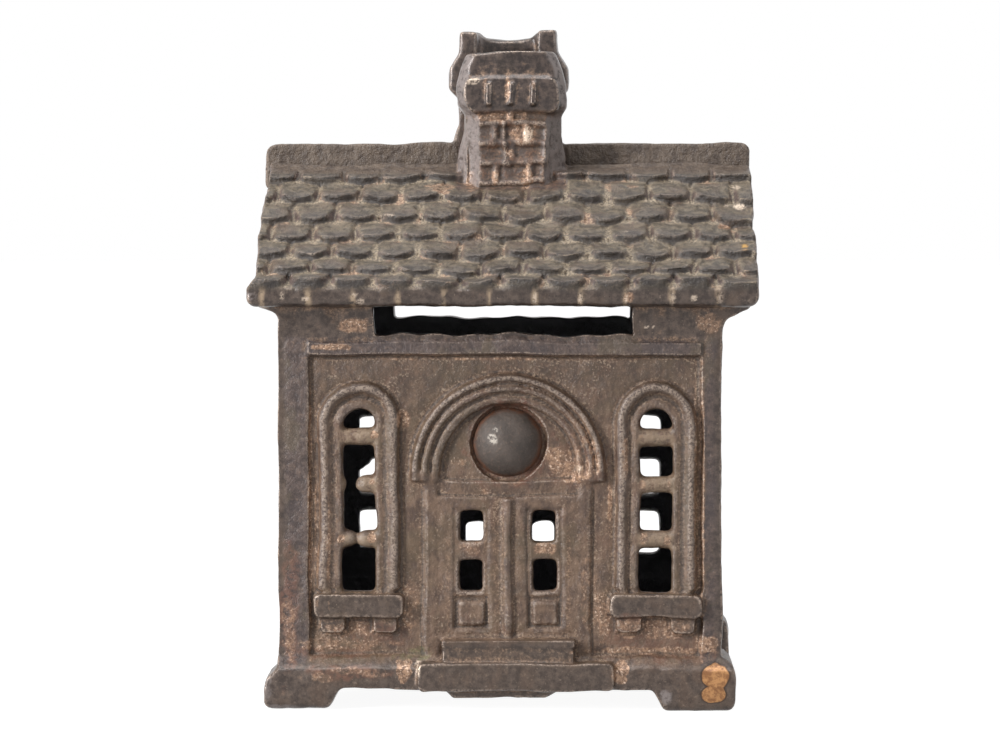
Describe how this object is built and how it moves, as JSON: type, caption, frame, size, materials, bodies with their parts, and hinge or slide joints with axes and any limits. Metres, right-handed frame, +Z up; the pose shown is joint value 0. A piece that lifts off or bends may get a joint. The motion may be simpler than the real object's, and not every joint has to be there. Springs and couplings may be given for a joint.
{
  "type": "still bank",
  "caption": "Small cast iron still bank in the form of a house with a shingled roof, brick chimney, barred windows and an arched door, in two bolted castings with a coin slot under the eave.",
  "frame": {"origin": "on the ground under the middle of the bounding box", "axes": "+Z up to the chimney, the front with the door faces -Y, +X to the right as seen from the front"},
  "size_m": [0.068, 0.0588, 0.0915],
  "materials": {
    "iron": "rough sand-cast surface with a worn dark brown patina, dusty rust and copper-coloured rubbed edges",
    "fastener": "dull, tarnished dark grey"
  },
  "bodies": {
    "front_half": {"front_half": "iron", "tie_bolt": "fastener"},
    "back_half": {"back_half": "iron"},
    "washer": {"washer": "fastener"},
    "square_nut": {"square_nut": "fastener"}
  },
  "joints": [
    {"name": "nut_travel", "type": "slide", "parent": "front_half", "child": "washer", "axis": [0, 1, 0], "range_m": [0, 0.0045]},
    {"name": "nut_turn", "type": "hinge", "parent": "washer", "child": "square_nut", "pos_m": [0.0007, 0.0259, 0.0356], "axis": [0, 1, 0], "range_deg": [0, 1532]},
    {"name": "back_half_slide", "type": "slide", "parent": "front_half", "child": "back_half", "axis": [0, 1, 0], "range_m": [0, 0.0045]}
  ],
  "couplings": [
    {"joint": "nut_turn", "follows": "nut_travel", "rad_per_m": 5936.8},
    {"joint": "back_half_slide", "follows": "nut_travel", "ratio": 1}
  ]
}
